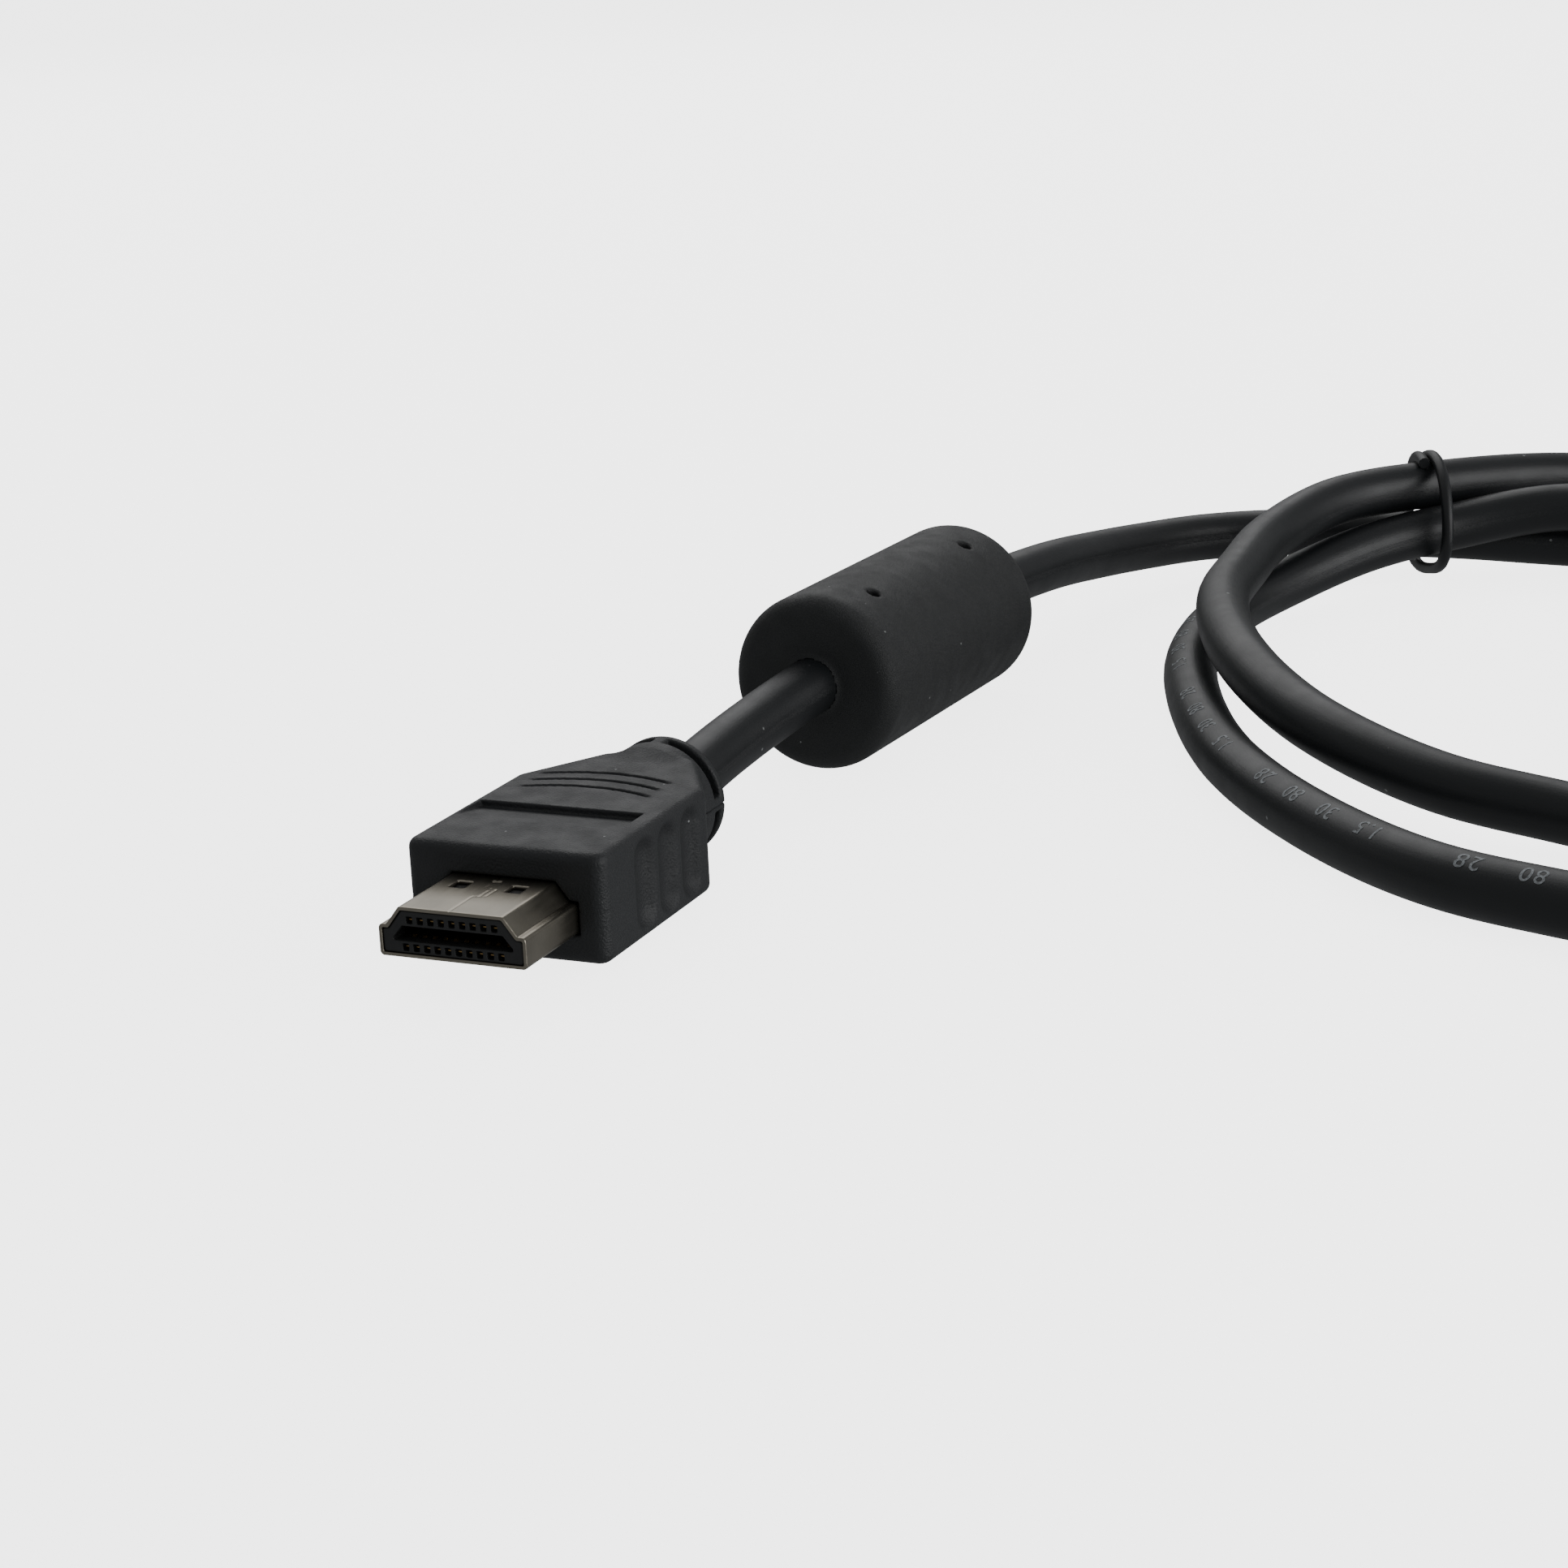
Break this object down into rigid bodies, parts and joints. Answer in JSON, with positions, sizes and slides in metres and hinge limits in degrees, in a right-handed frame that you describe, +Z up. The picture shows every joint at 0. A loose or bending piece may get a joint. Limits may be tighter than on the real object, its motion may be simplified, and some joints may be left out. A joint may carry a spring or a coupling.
{
  "type": "hdmi cable",
  "caption": "Video cable with a flat moulded plug at each end and a round ferrite choke behind one plug, loosely coiled and held by a thin tie.",
  "frame": {"origin": "On the floor under the middle of plug A, which is the plug in front: halfway between the open end of its metal shell and the rear of its strain relief collar", "axes": "+Z up, -Y out of plug A's open end, +Y back along the cable towards the choke and the coil, +X to the right when seen from plug A's open end; the wide side of plug A's shell is down"},
  "size_m": [0.1982, 0.1977, 0.0184],
  "materials": {
    "overmold": "fine matte PVC",
    "jacket": "satin flexible PVC",
    "choke": "smooth matte PVC",
    "insulator": "satin thermoplastic",
    "shell": "warm nickel plating, satin",
    "contacts": "gold flash",
    "tie": "satin plastic covered wire"
  },
  "bodies": {
    "root": {"plug_a_overmold": "overmold", "plug_a_shell": "shell", "plug_a_insulator": "insulator", "plug_a_contact_01": "contacts", "plug_a_contact_02": "contacts", "plug_a_contact_03": "contacts", "plug_a_contact_04": "contacts", "plug_a_contact_05": "contacts", "plug_a_contact_06": "contacts", "plug_a_contact_07": "contacts", "plug_a_contact_08": "contacts", "plug_a_contact_09": "contacts", "plug_a_contact_10": "contacts", "plug_a_contact_11": "contacts", "plug_a_contact_12": "contacts", "plug_a_contact_13": "contacts", "plug_a_contact_14": "contacts", "plug_a_contact_15": "contacts", "plug_a_contact_16": "contacts", "plug_a_contact_17": "contacts", "plug_a_contact_18": "contacts", "plug_a_contact_19": "contacts", "plug_b_overmold": "overmold", "plug_b_shell": "shell", "plug_b_insulator": "insulator", "plug_b_contact_01": "contacts", "plug_b_contact_02": "contacts", "plug_b_contact_03": "contacts", "plug_b_contact_04": "contacts", "plug_b_contact_05": "contacts", "plug_b_contact_06": "contacts", "plug_b_contact_07": "contacts", "plug_b_contact_08": "contacts", "plug_b_contact_09": "contacts", "plug_b_contact_10": "contacts", "plug_b_contact_11": "contacts", "plug_b_contact_12": "contacts", "plug_b_contact_13": "contacts", "plug_b_contact_14": "contacts", "plug_b_contact_15": "contacts", "plug_b_contact_16": "contacts", "plug_b_contact_17": "contacts", "plug_b_contact_18": "contacts", "plug_b_contact_19": "contacts", "cable": "jacket", "ferrite_choke": "choke", "wire_tie": "tie"}
  },
  "joints": []
}
